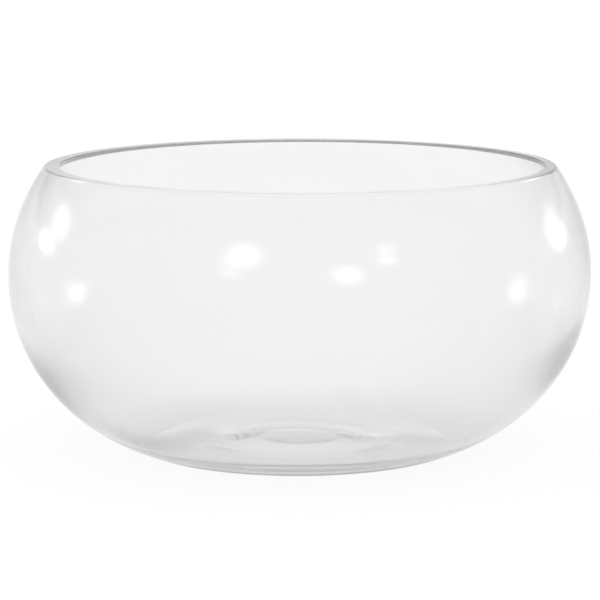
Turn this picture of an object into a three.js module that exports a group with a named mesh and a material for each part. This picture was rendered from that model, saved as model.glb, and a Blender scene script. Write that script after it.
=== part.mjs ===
// A low, round flower bowl of clear blown glass, made as one piece.
// Units are millimetres. The bowl stands on the plane Z = 0 and its axis is the Z axis.

import * as THREE from 'three';

// Outside of the bowl
const BELLY_RADIUS = 127;
const BELLY_HEIGHT = 76;
const BOWL_HEIGHT = 123.6;
const RIM_RADIUS = 111;
const LOWER_FULLNESS = 35.8;

// Foot: a flat ring that the bowl stands on, round a shallow hollow that is level at its top
const FOOT_RADIUS = 69;
const FOOT_RING_WIDTH = 31;
const FOOT_HOLLOW_DEPTH = 3.8;
const FOOT_HOLLOW_TOP_RADIUS = 15;
const HEEL_RADIUS = 3.6;
const HEEL_RISE_DEGREES = 18.2;
const HEEL_FULLNESS = 35;

// Glass thickness, measured level at the rim and the belly, and upright at the edge of the floor
const RIM_WALL = 5.8;
const BELLY_WALL = 6.5;
const FLOOR_THICKNESS = 5.4;

// Inside of the bowl: the floor has a level ring at its edge and rises a little over the hollow
const INSIDE_FULLNESS = 38;
const FLOOR_RADIUS = 64.8;
const FLOOR_FULLNESS = 27.1;
const FLOOR_RING_WIDTH = 9.8;
const FLOOR_RISE = 2.5;

// The rim is ground flat, with its outer edge just broken and its inner edge cut back further
const RIM_OUTER_BEVEL = 0.4;
const RIM_INNER_BEVEL = 1;

// Fineness of the round surfaces
const SEGMENTS_AROUND = 80;
const STEPS_PER_CURVE = 12;

const GLASS_COLOUR = 0xe4eeec;

// The points of a curve after its first one, which the curve before it has already given.
function stepsAlong(curve, steps) {
  return curve.getPoints(steps).slice(1);
}

// A smooth run from one point to another that is level at both ends.
function levelRun(startRadius, startHeight, endRadius, endHeight) {
  const middle = (startRadius + endRadius) / 2;
  return new THREE.CubicBezierCurve(
    new THREE.Vector2(startRadius, startHeight),
    new THREE.Vector2(middle, startHeight),
    new THREE.Vector2(middle, endHeight),
    new THREE.Vector2(endRadius, endHeight),
  );
}

// The upper wall is part of an ellipse that is upright at the belly and passes through the rim's corner.
function upperWall(bellyRadius, rimRadius, bevel) {
  const rise = BOWL_HEIGHT - BELLY_HEIGHT;
  const halfHeight = rise / Math.sqrt(1 - (rimRadius / bellyRadius) ** 2);
  const bevelAngle = Math.asin((rise - bevel) / halfHeight);
  return { halfHeight, bevelAngle };
}

// The underside, from the axis over the hollow to the outer edge of the flat ring.
function underside() {
  const ringInside = FOOT_RADIUS - FOOT_RING_WIDTH;
  const side = levelRun(FOOT_HOLLOW_TOP_RADIUS, FOOT_HOLLOW_DEPTH, ringInside, 0);
  return [
    new THREE.Vector2(0, FOOT_HOLLOW_DEPTH),
    ...side.getPoints(STEPS_PER_CURVE / 2),
    new THREE.Vector2(FOOT_RADIUS, 0),
  ];
}

// The outside of the wall, from the flat foot to the bevel at the rim.
function outsideWall() {
  const rise = THREE.MathUtils.degToRad(HEEL_RISE_DEGREES);
  const down = -Math.PI / 2;
  const heel = new THREE.EllipseCurve(
    FOOT_RADIUS, HEEL_RADIUS, HEEL_RADIUS, HEEL_RADIUS, down, down + rise, false,
  );
  const heelTop = heel.getPoint(1);
  const lower = new THREE.CubicBezierCurve(
    heelTop,
    new THREE.Vector2(heelTop.x + HEEL_FULLNESS * Math.cos(rise), heelTop.y + HEEL_FULLNESS * Math.sin(rise)),
    new THREE.Vector2(BELLY_RADIUS, BELLY_HEIGHT - LOWER_FULLNESS),
    new THREE.Vector2(BELLY_RADIUS, BELLY_HEIGHT),
  );
  const { halfHeight, bevelAngle } = upperWall(BELLY_RADIUS, RIM_RADIUS, RIM_OUTER_BEVEL);
  const upper = new THREE.EllipseCurve(0, BELLY_HEIGHT, BELLY_RADIUS, halfHeight, 0, bevelAngle, false);
  return [
    ...stepsAlong(heel, STEPS_PER_CURVE / 4),
    ...stepsAlong(lower, STEPS_PER_CURVE),
    ...stepsAlong(upper, STEPS_PER_CURVE),
  ];
}

// The inside of the wall, from the bevel at the rim to the edge of the floor.
function insideWall() {
  const bellyRadius = BELLY_RADIUS - BELLY_WALL;
  const { halfHeight, bevelAngle } = upperWall(bellyRadius, RIM_RADIUS - RIM_WALL, RIM_INNER_BEVEL);
  const upper = new THREE.EllipseCurve(0, BELLY_HEIGHT, bellyRadius, halfHeight, bevelAngle, 0, true);
  const lower = new THREE.CubicBezierCurve(
    new THREE.Vector2(bellyRadius, BELLY_HEIGHT),
    new THREE.Vector2(bellyRadius, BELLY_HEIGHT - INSIDE_FULLNESS),
    new THREE.Vector2(FLOOR_RADIUS + FLOOR_FULLNESS, FLOOR_THICKNESS),
    new THREE.Vector2(FLOOR_RADIUS, FLOOR_THICKNESS),
  );
  return [...upper.getPoints(STEPS_PER_CURVE), ...stepsAlong(lower, STEPS_PER_CURVE)];
}

// The inside floor, from the inner edge of its level ring up to the axis.
function insideFloor() {
  const ringInside = FLOOR_RADIUS - FLOOR_RING_WIDTH;
  const rise = levelRun(ringInside, FLOOR_THICKNESS, 0, FLOOR_THICKNESS + FLOOR_RISE);
  return rise.getPoints(STEPS_PER_CURVE / 2);
}

// Half of the bowl's section, from the axis under the foot round to the axis on the floor.
function bowlSection() {
  return [
    ...underside(),
    ...outsideWall(),
    new THREE.Vector2(RIM_RADIUS - RIM_OUTER_BEVEL, BOWL_HEIGHT),
    new THREE.Vector2(RIM_RADIUS - RIM_WALL + RIM_INNER_BEVEL, BOWL_HEIGHT),
    ...insideWall(),
    ...insideFloor(),
  ];
}

const bowlGeometry = new THREE.LatheGeometry(bowlSection(), SEGMENTS_AROUND);
bowlGeometry.rotateX(Math.PI / 2);

const glass = new THREE.MeshStandardMaterial({
  color: GLASS_COLOUR,
  roughness: 0.02,
  transparent: true,
  opacity: 0.35,
});
const bowl = new THREE.Mesh(bowlGeometry, glass);
bowl.name = 'glass_bowl';

const part = new THREE.Group();
part.name = 'glass_bowl_vase';
part.add(bowl);

export default part;
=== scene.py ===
"""Looks of a low round flower bowl of clear blown glass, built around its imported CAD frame.

The bowl is one body of glass. Its surface is a section carried round the upright axis, worked out
with numpy at a finer pitch than the CAD solid, with the small unevenness that blowing leaves in it.
Lengths are in metres, and the bowl stands on the plane z = 0.
"""

from __future__ import annotations

import logging
import math
from dataclasses import dataclass, field
from enum import Enum
from typing import Any

import bpy
import numpy as np
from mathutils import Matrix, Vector


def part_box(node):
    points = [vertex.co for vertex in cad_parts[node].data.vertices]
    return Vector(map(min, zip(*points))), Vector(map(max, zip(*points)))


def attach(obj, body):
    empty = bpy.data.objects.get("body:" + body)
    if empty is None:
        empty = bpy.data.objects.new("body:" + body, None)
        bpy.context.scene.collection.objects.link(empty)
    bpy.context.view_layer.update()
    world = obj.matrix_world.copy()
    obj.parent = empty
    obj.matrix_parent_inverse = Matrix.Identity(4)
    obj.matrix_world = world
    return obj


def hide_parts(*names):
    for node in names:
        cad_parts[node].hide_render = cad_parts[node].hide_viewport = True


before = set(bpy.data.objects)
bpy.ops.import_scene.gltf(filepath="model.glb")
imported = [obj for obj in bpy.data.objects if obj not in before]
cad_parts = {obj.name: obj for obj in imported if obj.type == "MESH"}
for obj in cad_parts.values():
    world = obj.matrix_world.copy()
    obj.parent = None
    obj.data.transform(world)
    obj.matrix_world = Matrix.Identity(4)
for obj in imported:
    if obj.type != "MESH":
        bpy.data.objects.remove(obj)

LOG = logging.getLogger("glass_bowl")

BOWL_NODE = "glass_bowl"
BOWL_PIECE = "glass_bowl_blown"
BODY = "root"
MM = 0.001


class RayKind(Enum):
    """Kinds of ray that a backdrop can answer in its own way."""

    CAMERA = "Is Camera Ray"
    GLOSSY = "Is Glossy Ray"
    TRANSMISSION = "Is Transmission Ray"


def linear(hex_colour: str) -> tuple[float, float, float, float]:
    """Turns an sRGB hex colour into linear light by the standard curve: straight near black, then a power.

    Args:
        hex_colour: six hex digits, such as "e4eeec".

    Returns:
        Linear red, green and blue, and an alpha of 1.
    """
    srgb = np.array([int(hex_colour[i:i + 2], 16) for i in (0, 2, 4)]) / 255
    rgb = np.where(srgb <= 0.04045, srgb / 12.92, ((srgb + 0.055) / 1.055) ** 2.4)
    return (*rgb.tolist(), 1.0)


def add_node(tree: bpy.types.NodeTree, kind: str, settings: dict[str, Any] | None = None,
             inputs: dict[str | int, Any] | None = None) -> bpy.types.Node:
    """Adds one shader node, with its settings, its values and its links.

    Args:
        tree: the node tree that gets it.
        kind: Blender's name for the node type.
        settings: properties of the node.
        inputs: for each input, a value to set or an output socket to link.

    Returns:
        The new node.
    """
    node = tree.nodes.new(kind)
    for name, value in (settings or {}).items():
        setattr(node, name, value)
    for name, value in (inputs or {}).items():
        if isinstance(value, bpy.types.NodeSocket):
            tree.links.new(value, node.inputs[name])
        else:
            node.inputs[name].default_value = value
    return node


def shell_mesh(name: str, rows: np.ndarray, start: np.ndarray, end: np.ndarray) -> bpy.types.Mesh:
    """Makes a closed mesh from rings of points and the two points that close its ends.

    Args:
        name: the mesh's name.
        rows: the ring points, as an array of (rings, points round, 3).
        start: the point that closes the first ring.
        end: the point that closes the last ring.

    Returns:
        A smooth-shaded mesh, with quads between the rings and triangles at both ends.
    """
    rings, around = rows.shape[:2]
    first = rings * around
    index = np.arange(first).reshape(rings, around)
    beside = np.roll(index, -1, axis=1)
    quads = np.stack([index[:-1], beside[:-1], beside[1:], index[1:]], axis=-1)
    cap_start = np.stack([np.full(around, first), beside[0], index[0]], axis=-1)
    cap_end = np.stack([np.full(around, first + 1), index[-1], beside[-1]], axis=-1)
    place = np.concatenate([rows.reshape(-1, 3), start[None], end[None]])
    loop = np.concatenate([quads.ravel(), cap_start.ravel(), cap_end.ravel()])
    size = np.concatenate([np.full((rings - 1) * around, 4), np.full(2 * around, 3)])
    mesh = bpy.data.meshes.new(name)
    mesh.vertices.add(len(place))
    mesh.vertices.foreach_set("co", place.astype(np.float32).ravel())
    mesh.loops.add(len(loop))
    mesh.loops.foreach_set("vertex_index", loop.astype(np.int32))
    mesh.polygons.add(len(size))
    mesh.polygons.foreach_set("loop_start", (np.cumsum(size) - size).astype(np.int32))
    mesh.polygons.foreach_set("use_smooth", np.ones(len(size), dtype=bool))
    mesh.update(calc_edges=True)
    mesh.validate()
    return mesh


def bezier(points: list[tuple[float, float]], steps: int) -> np.ndarray:
    """Samples a Bezier curve of any order: the sum of its points, each weighted by its Bernstein term.

    Args:
        points: the curve's control points, as (radius, height).
        steps: how many stretches to cut it into.

    Returns:
        The points after the first one, as an array of (steps, 2).
    """
    t = np.linspace(0, 1, steps + 1)[1:, None]
    order = len(points) - 1
    weights = [math.comb(order, k) * t ** k * (1 - t) ** (order - k) for k in range(order + 1)]
    return sum(w * np.array(p) for w, p in zip(weights, points))


def arc(centre: tuple[float, float], radii: tuple[float, float], angles: tuple[float, float],
        steps: int) -> np.ndarray:
    """Samples an arc of an ellipse: its centre plus its radii times the cosine and sine of the angle.

    Args:
        centre: the ellipse's centre, as (radius, height).
        radii: its half width and half height.
        angles: the first and last angle, in radians.
        steps: how many stretches to cut it into.

    Returns:
        The points after the first one, as an array of (steps, 2).
    """
    angle = np.linspace(*angles, steps + 1)[1:]
    return np.stack([centre[0] + radii[0] * np.cos(angle), centre[1] + radii[1] * np.sin(angle)], axis=-1)


def level_run(start: tuple[float, float], end: tuple[float, float], steps: int) -> np.ndarray:
    """Samples a run that is level at both ends: a cubic curve with its middle points at the mean radius."""
    middle = (start[0] + end[0]) / 2
    return bezier([start, (middle, start[1]), (middle, end[1]), end], steps)


def line(start: tuple[float, float], end: tuple[float, float], steps: int) -> np.ndarray:
    """Samples a straight stretch, closer together at its ends: half a cosine wave from start to end."""
    share = (1 - np.cos(np.linspace(0, math.pi, steps + 1)[1:, None])) / 2
    return np.array(start) + share * (np.array(end) - np.array(start))


@dataclass(frozen=True)
class ClearGlass:
    """Soda-lime glass, blown and fire-polished: clear, glossy, and faintly grey along a long path.

    Blowing leaves slow ripples in it and a faint softness on the wall, which blurs what the wall
    mirrors. The low wall and the base are clearer, so the rings of the foot show crisply through
    them. The rim is ground flat and polished, with fine satin lines left across it.
    """

    name: str = "clear_soda_lime_glass"
    ior: float = 1.52
    tint: str = "e6e5e6"
    tint_density: float = 7.6
    ripple_size: float = 30 * MM
    ripple_height: float = 0.012 * MM
    wall_roughness: float = 0.09
    # Shares of the height: the wall is clear below the first, and has all its softness above the second
    clear_below: float = 0.2
    soft_above: float = 0.3
    rim_depth: float = 0.08 * MM
    rim_roughness: float = 0.0
    rim_line_roughness: float = 0.06
    rim_line_spacing: float = 1.5 * MM
    # Levels of the noise between which a line on the rim sets in
    rim_line_low: float = 0.35
    rim_line_high: float = 0.65

    def material(self, height: float, rim_radius: float) -> bpy.types.Material:
        """Builds the glass: a transmitting surface over a thin absorption in the body.

        Args:
            height: the height of the ground rim.
            rim_radius: the rim's radius, for the spacing of the lines across it.

        Returns:
            The material.
        """
        made = bpy.data.materials.new(self.name)
        made.use_nodes = True
        tree = made.node_tree
        tree.nodes.clear()
        place = add_node(tree, "ShaderNodeTexCoord")
        split = add_node(tree, "ShaderNodeSeparateXYZ", inputs={0: place.outputs["Object"]})
        angle = add_node(tree, "ShaderNodeMath", {"operation": "ARCTAN2"}, {
            0: split.outputs["Y"], 1: split.outputs["X"]})
        lines = add_node(tree, "ShaderNodeTexNoise", {"noise_dimensions": "1D"}, {
            "W": angle.outputs[0], "Scale": rim_radius / self.rim_line_spacing, "Detail": 2.0})
        satin = add_node(tree, "ShaderNodeMapRange", inputs={
            "Value": lines.outputs[0], "From Min": self.rim_line_low, "From Max": self.rim_line_high,
            "To Min": self.rim_roughness, "To Max": self.rim_line_roughness})
        wall = add_node(tree, "ShaderNodeMapRange", inputs={
            "Value": split.outputs["Z"], "From Min": self.clear_below * height,
            "From Max": self.soft_above * height, "To Max": self.wall_roughness})
        ground = add_node(tree, "ShaderNodeMapRange", inputs={
            "Value": split.outputs["Z"], "From Min": height - self.rim_depth, "From Max": height,
            "To Min": wall.outputs[0], "To Max": satin.outputs[0]})
        ripple = add_node(tree, "ShaderNodeTexNoise", inputs={
            "Vector": place.outputs["Object"], "Scale": 1 / self.ripple_size, "Detail": 1.0})
        relief = add_node(tree, "ShaderNodeBump", inputs={
            "Strength": 1.0, "Distance": self.ripple_height, "Height": ripple.outputs[0]})
        surface = add_node(tree, "ShaderNodeBsdfPrincipled", inputs={
            "Base Color": linear("ffffff"), "Roughness": ground.outputs[0], "IOR": self.ior,
            "Transmission Weight": 1.0, "Normal": relief.outputs[0]})
        body = add_node(tree, "ShaderNodeVolumeAbsorption", inputs={
            "Color": linear(self.tint), "Density": self.tint_density})
        add_node(tree, "ShaderNodeOutputMaterial", inputs={
            "Surface": surface.outputs[0], "Volume": body.outputs[0]})
        return made


@dataclass(frozen=True)
class Pitch:
    """How many stretches each part of the bowl's section is cut into, and its surface round the axis."""

    hollow_top: int = 6
    hollow_side: int = 24
    foot_ring: int = 8
    heel: int = 8
    below_belly: int = 48
    above_belly: int = 40
    rim_edge: int = 8
    rim_flat: int = 10
    floor_ring: int = 6
    floor_rise: int = 28
    around: int = 340


@dataclass(frozen=True)
class Wave:
    """A slow wave in the wall: crests round the bowl, and in radians the climb to the rim and the phase."""

    crests: int
    climb: float
    phase: float


@dataclass
class GlassBowl:
    """The whole vessel: wall, ground rim, floor and foot in one body of glass."""

    finish: ClearGlass
    belly_radius: float
    height: float
    belly_height: float = 76 * MM
    rim_radius: float = 111 * MM
    lower_fullness: float = 35.8 * MM
    inner_fullness: float = 38 * MM
    foot_radius: float = 69 * MM
    foot_ring_width: float = 31 * MM
    foot_hollow_depth: float = 3.8 * MM
    foot_hollow_top: float = 15 * MM
    heel_radius: float = 3.6 * MM
    heel_rise: float = math.radians(18.2)
    heel_fullness: float = 35 * MM
    rim_wall: float = 5.8 * MM
    belly_wall: float = 6.5 * MM
    floor_thickness: float = 5.4 * MM
    floor_radius: float = 64.8 * MM
    floor_fullness: float = 27.1 * MM
    floor_ring_width: float = 9.8 * MM
    floor_rise: float = 2.5 * MM
    rim_bevel: float = 0.85 * MM
    rim_round: float = 0.9 * MM
    foot_lean: float = -0.8 * MM
    rim_lean: float = 0.2 * MM
    wall_offset: float = 0.7 * MM
    wave_height: float = 0.06 * MM
    waves: tuple[Wave, ...] = (Wave(2, 6.0, 0.7), Wave(3, -9.0, -1.3), Wave(5, 14.0, 2.1))
    inside_shift: float = 0.6
    pitch: Pitch = Pitch()

    def underside(self) -> list[np.ndarray]:
        """Samples the level top and the side of the hollow, the flat ring and the heel's round."""
        edge = self.foot_radius - self.foot_ring_width
        top = (self.foot_hollow_top, self.foot_hollow_depth)
        down = -math.pi / 2
        return [
            line((0, self.foot_hollow_depth), top, self.pitch.hollow_top),
            level_run(top, (edge, 0), self.pitch.hollow_side),
            line((edge, 0), (self.foot_radius, 0), self.pitch.foot_ring),
            arc((self.foot_radius, self.heel_radius), (self.heel_radius, self.heel_radius),
                (down, down + self.heel_rise), self.pitch.heel),
        ]

    def wall(self, belly: float, rim: float, edge: float, fullness: float,
             low: list[tuple[float, float]]) -> np.ndarray:
        """Samples one face of the wall from its low end to where the rim's edge is broken.

        Below the belly it is a cubic curve that ends upright, and above it an ellipse that is
        upright at the belly and passes through the rim's corner.

        Args:
            belly: the face's radius at the belly.
            rim: its radius at the rim's corner.
            edge: how far below the corner the broken edge starts.
            fullness: how far below the belly it stays near upright.
            low: the cubic's first two points.

        Returns:
            The face's points after its first one.
        """
        rise = self.height - self.belly_height
        half_height = rise / math.sqrt(1 - (rim / belly) ** 2)
        top = math.asin((rise - edge) / half_height)
        below = (belly, self.belly_height - fullness)
        return np.concatenate([
            bezier([*low, below, (belly, self.belly_height)], self.pitch.below_belly),
            arc((0, self.belly_height), (belly, half_height), (0, top), self.pitch.above_belly)])

    def inside_floor(self) -> np.ndarray:
        """Samples the inside floor to near the axis: a level ring, then a run that rises to the middle."""
        ring = (self.floor_radius - self.floor_ring_width, self.floor_thickness)
        middle = (0, self.floor_thickness + self.floor_rise)
        return np.concatenate([
            line((self.floor_radius, self.floor_thickness), ring, self.pitch.floor_ring),
            level_run(ring, middle, self.pitch.floor_rise)[:-1]])

    def section(self) -> tuple[np.ndarray, np.ndarray]:
        """Joins the half section, from the axis under the foot round to the axis on the floor.

        Returns:
            Its points as (radius, height), and for each point a share that is 0 on the outside,
            1 on the inside and runs from one to the other across the ground rim.
        """
        underside = self.underside()
        heel = underside[-1][-1]
        along = np.array([math.cos(self.heel_rise), math.sin(self.heel_rise)])
        inner_belly = self.belly_radius - self.belly_wall
        inner_rim = self.rim_radius - self.rim_wall
        floor_edge = (self.floor_radius, self.floor_thickness)
        floor_lead = (self.floor_radius + self.floor_fullness, self.floor_thickness)
        outside = self.wall(
            self.belly_radius, self.rim_radius, self.rim_bevel, self.lower_fullness,
            [tuple(heel), tuple(heel + self.heel_fullness * along)])
        inside = self.wall(
            inner_belly, inner_rim, self.rim_round, self.inner_fullness, [floor_edge, floor_lead])[::-1]
        outer_edge = (self.rim_radius - self.rim_bevel, self.height)
        inner_edge = (inner_rim + self.rim_round, self.height)
        outer_round = [tuple(outside[-1]), (self.rim_radius, self.height), outer_edge]
        inner_round = [inner_edge, (inner_rim, self.height), tuple(inside[0])]
        out = np.concatenate([*underside, outside, bezier(outer_round, self.pitch.rim_edge)])
        rim = line(outer_edge, inner_edge, self.pitch.rim_flat)
        back = np.concatenate([
            bezier(inner_round, self.pitch.rim_edge), inside[1:], [floor_edge], self.inside_floor()])
        across = np.linspace(0, 1, len(rim) + 1)[1:]
        share = np.concatenate([np.zeros(len(out)), across, np.ones(len(back))])
        return np.concatenate([out, rim, back]), share

    def lean(self, height: np.ndarray | float, share: np.ndarray | float) -> np.ndarray | float:
        """Works out how far each ring is shifted: the axis leans, and the inside stands off to one side.

        Args:
            height: each ring's height.
            share: 0 for a ring on the outside, and 1 for one on the inside.

        Returns:
            The shift along X.
        """
        leaning = self.foot_lean + (self.rim_lean - self.foot_lean) * height / self.height
        return leaning + share * self.wall_offset

    def wave(self, radius: np.ndarray, height: np.ndarray, turn: np.ndarray,
             share: np.ndarray) -> np.ndarray:
        """Works out the slow ripples of blowing: cosine waves that wind up the wall, and differ inside.

        Args:
            radius: each ring's radius.
            height: each ring's height.
            turn: the angles round the axis.
            share: 0 for a ring on the outside, and 1 for one on the inside.

        Returns:
            How far each point stands out from the section.
        """
        up = height / self.height + self.inside_shift * share
        ripple = sum(np.cos(wave.crests * turn + wave.climb * up + wave.phase) for wave in self.waves)
        return self.wave_height * (radius / self.belly_radius) ** 2 * ripple

    def build(self) -> bpy.types.Object:
        """Carries the section round the axis: each point turns through a full circle about it."""
        section, inner = self.section()
        turn = np.linspace(0, 2 * math.pi, self.pitch.around, endpoint=False)
        radius, height, share = section[:, :1], section[:, 1:], inner[:, None]
        reach = radius + self.wave(radius, height, turn, share)
        across = reach * np.cos(turn) + self.lean(height, share)
        rows = np.stack([across, reach * np.sin(turn), height + 0 * turn], axis=-1)
        hollow_top = self.foot_hollow_depth
        floor_top = self.floor_thickness + self.floor_rise
        under = np.array([self.lean(hollow_top, 0), 0, hollow_top])
        over = np.array([self.lean(floor_top, 1), 0, floor_top])
        mesh = shell_mesh(BOWL_PIECE, rows, under, over)
        bowl = bpy.data.objects.new(BOWL_PIECE, mesh)
        bpy.context.scene.collection.objects.link(bowl)
        return bowl

    def dress(self, bowl: bpy.types.Object) -> None:
        """Gives the bowl its glass and ties it to the CAD node that it stands for."""
        bowl.data.materials.append(self.finish.material(self.height, self.rim_radius))
        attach(bowl, BODY)
        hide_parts(BOWL_NODE)


@dataclass(frozen=True)
class Lamp:
    """A small soft lamp, brightest in its middle, placed by the way it lies from the bowl."""

    name: str
    azimuth: float
    elevation: float
    radiance: float
    width: float = 0.6
    tall: float = 0.3
    fall: float = 2.2
    distance: float = 1.6

    def build(self, aim: Vector) -> None:
        """Hangs the lamp and turns it to the bowl: azimuth 0 is towards the camera, 90 to the right.

        Args:
            aim: the point that the lamp looks at.
        """
        light = bpy.data.lights.new(self.name, "AREA")
        light.shape = "ELLIPSE"
        light.size = self.width
        light.size_y = self.tall
        area = math.pi * self.width * self.tall / 4
        light.energy = self.radiance * math.pi * area
        light.use_nodes = True
        tree = light.node_tree
        tree.nodes.clear()
        # The lamp's own coordinates run from 0 to 1 across it
        middle = 0.5
        place = add_node(tree, "ShaderNodeNewGeometry")
        reach = add_node(tree, "ShaderNodeVectorMath", {"operation": "DISTANCE"}, {
            0: place.outputs["Parametric"], 1: (middle, middle, 0.0)})
        inward = add_node(tree, "ShaderNodeMapRange", inputs={
            "Value": reach.outputs["Value"], "From Max": middle, "To Min": 1.0, "To Max": 0.0})
        fade = add_node(tree, "ShaderNodeMath", {"operation": "POWER"}, {
            0: inward.outputs[0], 1: self.fall})
        glow = add_node(tree, "ShaderNodeEmission", inputs={"Strength": fade.outputs[0]})
        add_node(tree, "ShaderNodeOutputLight", inputs={"Surface": glow.outputs[0]})
        lamp = bpy.data.objects.new(self.name, light)
        a, e = math.radians(self.azimuth), math.radians(self.elevation)
        way = Vector((math.sin(a) * math.cos(e), -math.cos(a) * math.cos(e), math.sin(e)))
        lamp.location = aim + self.distance * way
        lamp.rotation_mode = "QUATERNION"
        lamp.rotation_quaternion = way.to_track_quat("Z", "Y")
        bpy.context.scene.collection.objects.link(lamp)


@dataclass(frozen=True)
class FloorShade:
    """A soft long shade on the floor beside the bowl, which only the glass shows."""

    x: float
    y: float
    turn: float
    length: float
    width: float
    dark: float
    core: float = 0.0

    def lay(self, tree: bpy.types.NodeTree, place: bpy.types.NodeSocket,
            level: bpy.types.NodeSocket) -> bpy.types.NodeSocket:
        """Takes the shade off a level: most over its core, and nothing at the edge of its ellipse.

        Args:
            tree: the node tree that gets it.
            place: the place on the floor.
            level: the floor's level without this shade.

        Returns:
            A socket with the level that is left.
        """
        inside = add_node(tree, "ShaderNodeMapping", {"vector_type": "TEXTURE"}, {
            "Vector": place, "Location": (self.x, self.y, 0.0), "Rotation": (0.0, 0.0, self.turn),
            "Scale": (self.length, self.width, 1.0)})
        reach = add_node(tree, "ShaderNodeVectorMath", {"operation": "LENGTH"}, {0: inside.outputs[0]})
        share = add_node(tree, "ShaderNodeMapRange", {"interpolation_type": "SMOOTHSTEP"}, {
            "Value": reach.outputs["Value"], "From Min": self.core, "To Min": self.dark, "To Max": 0.0})
        left = add_node(tree, "ShaderNodeMath", {"operation": "SUBTRACT"}, {0: level, 1: share.outputs[0]})
        return left.outputs[0]


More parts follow.
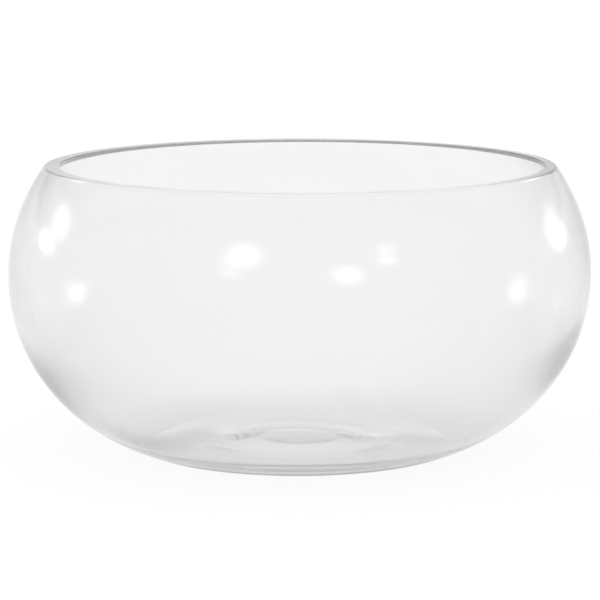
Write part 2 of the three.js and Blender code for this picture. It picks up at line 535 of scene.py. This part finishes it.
@dataclass
class Studio:
    """White floor and surround, small soft lamps, and the camera of the photograph.

    The glass shows its surround a little greyer than the camera does, with shade painted on the floor:
    darker under the foot and on the floor at either side, lighter on the floor behind.
    """

    # Levels of the surround: in front, low behind the bowl, above that, higher still, and as plain light
    glass_plain: float = 0.8
    glass_horizon: float = 0.88
    glass_backdrop: float = 1.0
    glass_dark: float = 0.62
    plain_light: float = 0.9
    # Where the surround changes, by how far up and how far back a direction of length 1 points
    horizon_top: float = 0.05
    backdrop_start: float = 0.09
    backdrop_top: float = 0.12
    dark_start: float = 0.17
    back_start: float = 0.2
    back_full: float = 0.55
    # Levels of the floor as the glass shows it, with painted shade under the foot and in front, then the
    # painted contact shadow taken off them close to the foot and a touch of painted light added in front
    under_front: float = 0.86
    under_back: float = 0.82
    shade_under_ring: float = 0.1
    floor_front: float = 0.7
    floor_back: float = 0.94
    contact_shadow_front: float = 0.36
    spill_front: float = 0.03
    contact_shadow_back: float = 0.09
    # Distances from the bowl's axis between which the floor changes
    ring_start: float = 30 * MM
    ring_full: float = 55 * MM
    foot_start: float = 64 * MM
    foot_end: float = 70 * MM
    line_start: float = 69.5 * MM
    line_end: float = 73.5 * MM
    hand_start: float = 80 * MM
    hand_end: float = 140 * MM
    under_reach: float = 60 * MM
    # Bearings, as the cosine from straight back, between which the thin painted dark line of contact shadow
    # fades out
    line_full: float = -0.8
    line_gone: float = 0.2
    floor_drop: float = 0.3 * MM
    floor_radius: float = 6.0
    floor_corners: int = 96
    floor_albedo: float = 0.12
    camera_white: float = 0.905
    camera_distance: float = 1.2
    camera_height: float = 0.2535
    camera_pitch: float = math.radians(9.0)
    lens_mm: float = 166.1
    sensor_mm: float = 36.0
    bounces: int = 1024
    lamps: list[Lamp] = field(default_factory=lambda: [
        Lamp("lamp_rear_left", -117, 8.6, radiance=9.0),
        Lamp("lamp_rear_right", 123, 6.8, radiance=8.0),
        Lamp("lamp_front_left", -23, 24.3, radiance=9.0, width=0.62, tall=0.38),
        Lamp("lamp_front_right", 34.4, 22.6, radiance=6.5, width=0.36, tall=0.26)])
    shades: list[FloorShade] = field(default_factory=lambda: [
        FloorShade(-0.154, 0.05, math.radians(104), length=0.18, width=0.06, dark=0.36),
        FloorShade(0.186, 0.095, math.radians(78), length=0.19, width=0.06, dark=0.3, core=0.3),
        FloorShade(-0.071, -0.06, math.radians(130), length=0.055, width=0.015, dark=0.3)])

    def seen_in_glass(self, tree: bpy.types.NodeTree) -> tuple[bpy.types.NodeSocket, bpy.types.NodeSocket]:
        """Adds the test of which kind of ray is asking.

        Args:
            tree: the node tree that gets it.

        Returns:
            A socket that is 1 for a camera ray, and one that is 1 for a ray from a glossy or clear surface.
        """
        rays = add_node(tree, "ShaderNodeLightPath")
        glass = add_node(tree, "ShaderNodeMath", {"operation": "MAXIMUM"}, {
            0: rays.outputs[RayKind.GLOSSY.value], 1: rays.outputs[RayKind.TRANSMISSION.value]})
        return rays.outputs[RayKind.CAMERA.value], glass.outputs[0]

    def build_world(self) -> None:
        """Lights the scene from a pale surround, which the glass shows as a backdrop with a dark top."""
        world = bpy.data.worlds.new("pale_surround")
        bpy.context.scene.world = world
        world.use_nodes = True
        tree = world.node_tree
        tree.nodes.clear()
        smooth = {"interpolation_type": "SMOOTHSTEP"}
        camera, glass = self.seen_in_glass(tree)
        way = add_node(tree, "ShaderNodeTexCoord")
        split = add_node(tree, "ShaderNodeSeparateXYZ", inputs={0: way.outputs["Generated"]})
        backdrop = add_node(tree, "ShaderNodeMapRange", smooth, {
            "Value": split.outputs["Z"], "From Min": self.horizon_top, "From Max": self.backdrop_start,
            "To Min": self.glass_horizon, "To Max": self.glass_backdrop})
        behind = add_node(tree, "ShaderNodeMapRange", smooth, {
            "Value": split.outputs["Z"], "From Min": self.backdrop_top, "From Max": self.dark_start,
            "To Min": backdrop.outputs[0], "To Max": self.glass_dark})
        shown = add_node(tree, "ShaderNodeMapRange", smooth, {
            "Value": split.outputs["Y"], "From Min": self.back_start, "From Max": self.back_full,
            "To Min": self.glass_plain, "To Max": behind.outputs[0]})
        lit = add_node(tree, "ShaderNodeMix", inputs={0: glass, 2: self.plain_light, 3: shown.outputs[0]})
        level = add_node(tree, "ShaderNodeMix", inputs={0: camera, 2: lit.outputs[0], 3: 1.0})
        surround = add_node(tree, "ShaderNodeBackground", inputs={
            "Color": linear("ffffff"), "Strength": level.outputs[0]})
        add_node(tree, "ShaderNodeOutputWorld", inputs={"Surface": surround.outputs[0]})

    def floor_tone(self, tree: bpy.types.NodeTree) -> bpy.types.NodeSocket:
        """Adds the floor's level as the glass shows it, with the bowl's shade painted into it.

        From front to back it runs between two levels by the cosine of the bearing, darker in front as
        painted shade, less the painted shadows beside the bowl. Close to the foot a painted contact shadow
        falls over a hand's breadth behind, and in front it is painted a touch lighter with a thin painted
        dark line at the glass. Under the foot it runs from front to back between two levels of its own, and
        has painted shade under the ring that the bowl stands on.

        Args:
            tree: the node tree that gets it.

        Returns:
            A socket with the level.
        """
        smooth = {"interpolation_type": "SMOOTHSTEP"}
        place = add_node(tree, "ShaderNodeTexCoord")
        flat = add_node(tree, "ShaderNodeVectorMath", {"operation": "MULTIPLY"}, {
            0: place.outputs["Object"], 1: (1.0, 1.0, 0.0)})
        reach = add_node(tree, "ShaderNodeVectorMath", {"operation": "LENGTH"}, {0: flat.outputs[0]})
        bearing = add_node(tree, "ShaderNodeVectorMath", {"operation": "NORMALIZE"}, {0: flat.outputs[0]})
        way = add_node(tree, "ShaderNodeSeparateXYZ", inputs={0: bearing.outputs[0]})
        # Painted shade: the floor darker in front than behind
        around = add_node(tree, "ShaderNodeMapRange", inputs={
            "Value": way.outputs["Y"], "From Min": -1.0, "From Max": 1.0,
            "To Min": self.floor_front, "To Max": self.floor_back})
        level = around.outputs[0]
        for shade in self.shades:
            level = shade.lay(tree, flat.outputs[0], level)
        # Painted contact shadow close to the foot: a broad fall behind and a thin dark line in front, with
        # a touch of painted light in front
        behind = add_node(tree, "ShaderNodeMapRange", smooth, {
            "Value": way.outputs["Y"], "From Min": -1.0, "From Max": 1.0,
            "To Min": -self.spill_front, "To Max": self.contact_shadow_back})
        before = add_node(tree, "ShaderNodeMapRange", smooth, {
            "Value": way.outputs["Y"], "From Min": self.line_full, "From Max": self.line_gone,
            "To Min": self.contact_shadow_front, "To Max": 0.0})
        hand = add_node(tree, "ShaderNodeMapRange", smooth, {
            "Value": reach.outputs["Value"], "From Min": self.hand_start, "From Max": self.hand_end,
            "To Min": behind.outputs[0], "To Max": 0.0})
        thin = add_node(tree, "ShaderNodeMapRange", smooth, {
            "Value": reach.outputs["Value"], "From Min": self.line_start, "From Max": self.line_end,
            "To Min": before.outputs[0], "To Max": 0.0})
        contact = add_node(tree, "ShaderNodeMath", {"operation": "ADD"}, {
            0: hand.outputs[0], 1: thin.outputs[0]})
        outside = add_node(tree, "ShaderNodeMath", {"operation": "SUBTRACT"}, {
            0: level, 1: contact.outputs[0]})
        across = add_node(tree, "ShaderNodeSeparateXYZ", inputs={0: flat.outputs[0]})
        # Painted shade under the foot, from front to back, and darker under the ring
        under = add_node(tree, "ShaderNodeMapRange", inputs={
            "Value": across.outputs["Y"], "From Min": -self.under_reach, "From Max": self.under_reach,
            "To Min": self.under_front, "To Max": self.under_back})
        edge = add_node(tree, "ShaderNodeMapRange", smooth, {
            "Value": reach.outputs["Value"], "From Min": self.ring_start, "From Max": self.ring_full,
            "To Max": self.shade_under_ring})
        inside = add_node(tree, "ShaderNodeMath", {"operation": "SUBTRACT"}, {
            0: under.outputs[0], 1: edge.outputs[0]})
        tone = add_node(tree, "ShaderNodeMapRange", smooth, {
            "Value": reach.outputs["Value"], "From Min": self.foot_start, "From Max": self.foot_end,
            "To Min": inside.outputs[0], "To Max": outside.outputs[0]})
        return tone.outputs[0]

    def white_paper(self) -> bpy.types.Material:
        """Builds the floor's matt paper: white to the camera, with a faint shadow, and in glass a glowing
        level with painted shade.
        """
        paper = bpy.data.materials.new("white_paper")
        paper.use_nodes = True
        tree = paper.node_tree
        tree.nodes.clear()
        camera, glass = self.seen_in_glass(tree)
        seen = add_node(tree, "ShaderNodeMix", inputs={
            0: camera, 2: self.floor_tone(tree), 3: self.camera_white})
        lift = add_node(tree, "ShaderNodeEmission", inputs={"Strength": seen.outputs[0]})
        lit = add_node(tree, "ShaderNodeBsdfDiffuse", inputs={
            "Color": (self.floor_albedo, self.floor_albedo, self.floor_albedo, 1)})
        both = add_node(tree, "ShaderNodeAddShader", inputs={0: lit.outputs[0], 1: lift.outputs[0]})
        shown = add_node(tree, "ShaderNodeMixShader", inputs={
            0: glass, 1: both.outputs[0], 2: lift.outputs[0]})
        add_node(tree, "ShaderNodeOutputMaterial", inputs={"Surface": shown.outputs[0]})
        return paper

    def build_floor(self) -> None:
        """Lays a round floor just under the foot: one face with its corners on a wide circle."""
        turn = np.linspace(0, 2 * math.pi, self.floor_corners, endpoint=False)
        rim = self.floor_radius * np.stack([np.cos(turn), np.sin(turn), 0 * turn], axis=-1)
        rim[:, 2] = -self.floor_drop
        mesh = bpy.data.meshes.new("white_floor")
        mesh.from_pydata(rim.tolist(), [], [list(range(len(turn)))])
        mesh.materials.append(self.white_paper())
        floor = bpy.data.objects.new("white_floor", mesh)
        bpy.context.scene.collection.objects.link(floor)

    def build_camera(self) -> None:
        """Sets the camera at the photograph's height, distance and tilt."""
        data = bpy.data.cameras.new("camera")
        data.lens = self.lens_mm
        data.sensor_width = self.sensor_mm
        camera = bpy.data.objects.new("camera", data)
        camera.location = (0, -self.camera_distance, self.camera_height)
        camera.rotation_euler = (math.pi / 2 - self.camera_pitch, 0, 0)
        bpy.context.scene.collection.objects.link(camera)
        bpy.context.scene.camera = camera

    def build(self, aim: Vector) -> None:
        """Builds the surround, the floor, the lamps and the camera."""
        self.build_world()
        self.build_floor()
        for lamp in self.lamps:
            lamp.build(aim)
        self.build_camera()
        scene = bpy.context.scene
        scene.view_settings.view_transform = "Standard"
        scene.cycles.max_bounces = self.bounces
        scene.cycles.transmission_bounces = self.bounces
        scene.cycles.glossy_bounces = self.bounces


def main() -> None:
    """Builds the bowl and the studio round it."""
    logging.basicConfig(level=logging.INFO, format="%(message)s")
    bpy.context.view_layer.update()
    low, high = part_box(BOWL_NODE)
    vessel = GlassBowl(ClearGlass(), belly_radius=(high.x - low.x) / 2, height=high.z)
    bowl = vessel.build()
    vessel.dress(bowl)
    LOG.info("%s: %d faces", bowl.name, len(bowl.data.polygons))
    Studio().build(Vector((0, 0, vessel.belly_height)))


if __name__ == "__main__":
    main()
